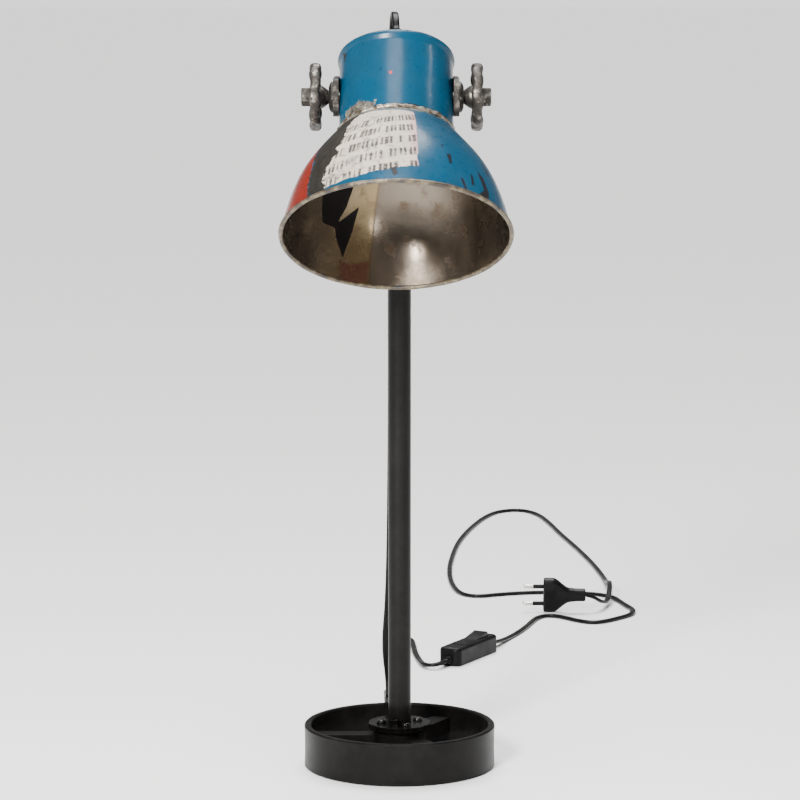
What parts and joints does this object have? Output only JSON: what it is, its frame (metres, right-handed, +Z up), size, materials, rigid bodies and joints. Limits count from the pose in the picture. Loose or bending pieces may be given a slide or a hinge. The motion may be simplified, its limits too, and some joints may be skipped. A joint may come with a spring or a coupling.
{
  "type": "desk lamp",
  "caption": "Desk lamp with a bell shade that tilts in a yoke between two handwheels, on a pole with a spoked wheel foot, with mains lead, inline switch and plug.",
  "frame": {"origin": "on the pole's axis, at the underside of the wheel foot", "axes": "+Z up along the pole, -Y the way the shade opens, +X to the right seen from the front"},
  "size_m": [0.3101, 1.3944, 0.5708],
  "materials": {
    "foot_paint": "satin black stoving paint on cast iron",
    "pole_paint": "satin black paint on steel tube",
    "flange_paint": "gloss black paint on cast flange",
    "black_screws": "painted dome heads",
    "zinc_screw": "zinc-plated, dull",
    "yoke_steel": "dark hot-rolled flat bar, oiled",
    "blue_enamel": "worn gloss enamel, chipped to bare steel",
    "bare_bead": "brazed and filed bead, lightly rusted",
    "plated_brass": "threaded brass tube",
    "boot_black": "moulded nylon gland",
    "phenolic": "moulded phenolic",
    "porcelain": "unglazed steatite",
    "contact_brass": "pressed brass",
    "zinc_nuts": "zinc-plated",
    "raw_cast_iron": "raw sand casting, mottled and oiled",
    "switch_black": "moulded, fine satin",
    "plug_black": "moulded PVC",
    "pin_nickel": "nickel-plated brass",
    "sleeve_black": "moulded sleeve",
    "lead_pvc": "extruded PVC, slightly glossy"
  },
  "bodies": {
    "stand": {"base_wheel": "foot_paint", "pole_flange": "flange_paint", "flange_screws": "black_screws", "locking_screw": "zinc_screw", "pole": "pole_paint", "pole_top_plate": "pole_paint", "yoke": "yoke_steel", "lead_lamp_side": "lead_pvc", "lead_plug_side": "lead_pvc", "switch_base": "switch_black", "switch_cover": "switch_black", "switch_reliefs": "switch_black", "switch_screws": "zinc_nuts", "rocker_pin": "zinc_nuts", "switch_terminals": "contact_brass", "plug_body": "plug_black", "plug_pins": "pin_nickel", "plug_sleeves": "sleeve_black"},
    "head": {"shade_cap": "blue_enamel", "shade_bell": "blue_enamel", "neck_bead": "bare_bead", "rim_bead": "bare_bead", "nipple": "plated_brass", "nipple_nut": "zinc_nuts", "lead_boot": "boot_black", "lampholder_dome": "phenolic", "lampholder_insert": "porcelain", "lampholder_shell": "phenolic", "lampholder_contacts": "contact_brass", "spindle_nuts": "zinc_nuts"},
    "left_knob": {"left_clamp_washer": "raw_cast_iron", "left_handwheel": "raw_cast_iron", "left_spindle": "zinc_nuts", "left_end_nut": "raw_cast_iron"},
    "right_knob": {"right_clamp_washer": "raw_cast_iron", "right_handwheel": "raw_cast_iron", "right_spindle": "zinc_nuts", "right_end_nut": "raw_cast_iron"},
    "rocker": {"switch_rocker": "switch_black"}
  },
  "joints": [
    {"name": "head_tilt", "type": "hinge", "parent": "stand", "child": "head", "pos_m": [-0.0024, -0.06, 0.50886], "axis": [-1, 0, 0], "range_deg": [-15, 12]},
    {"name": "left_knob_turn", "type": "hinge", "parent": "head", "child": "left_knob", "pos_m": [-0.0524, -0.06, 0.50886], "axis": [-1, 0, 0], "range_deg": [0, 360]},
    {"name": "right_knob_turn", "type": "hinge", "parent": "head", "child": "right_knob", "pos_m": [0.0476, -0.06, 0.50886], "axis": [1, 0, 0], "range_deg": [0, 360]},
    {"name": "switch_rock", "type": "hinge", "parent": "stand", "child": "rocker", "pos_m": [0.06241, 0.39495, 0.013], "axis": [0.8829, -0.4695, 0], "range_deg": [0, 11]}
  ]
}
